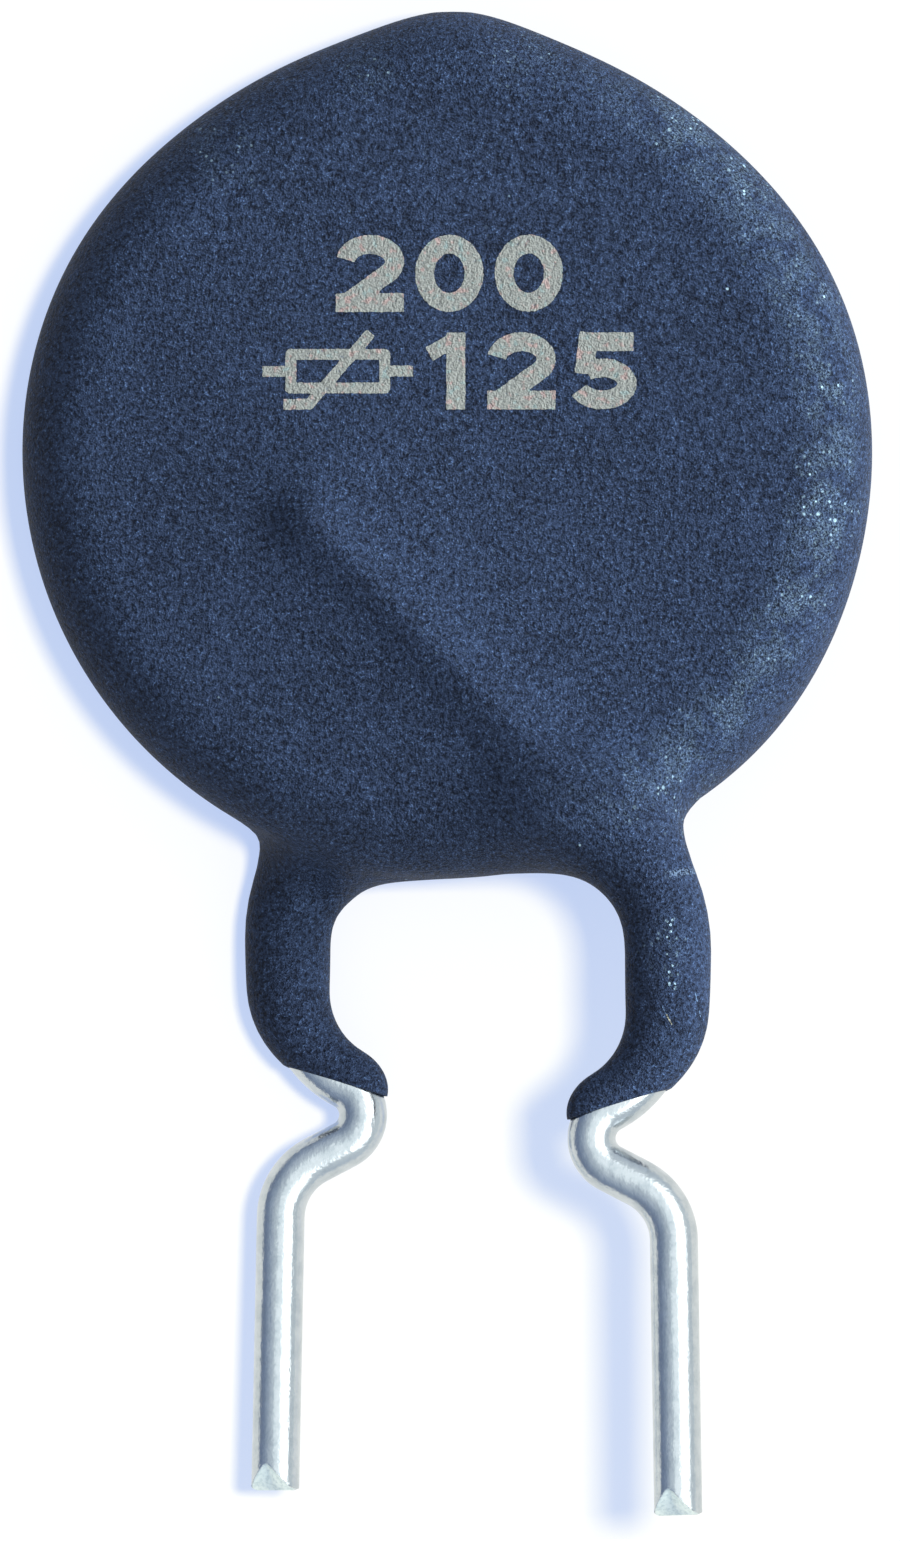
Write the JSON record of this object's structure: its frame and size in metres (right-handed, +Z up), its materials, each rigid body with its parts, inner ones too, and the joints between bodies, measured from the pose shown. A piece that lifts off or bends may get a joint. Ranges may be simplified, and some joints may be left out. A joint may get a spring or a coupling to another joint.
{
  "type": "inrush current limiter",
  "caption": "Disc thermistor with a dipped blue-grey coat and formed, kinked wire leads for a board.",
  "frame": {"origin": "middle of the box's base: the floor on which the part lies on its rear face", "axes": "+Z up from the floor, through the marked front face; leads run towards -Y; +X to the right of the marked face"},
  "size_m": [0.018, 0.032, 0.0066],
  "materials": {
    "sintered_oxide": "matte",
    "fired_silver": "satin",
    "solder": "satin",
    "tinned_wire": "satin",
    "dipped_coat": "matte",
    "marking_ink": "matte"
  },
  "bodies": {
    "root": {"thermistor_disc": "sintered_oxide", "front_electrode": "fired_silver", "rear_electrode": "fired_silver", "front_solder": "solder", "rear_solder": "solder", "front_lead": "tinned_wire", "rear_lead": "tinned_wire", "coating": "dipped_coat"}
  },
  "joints": []
}
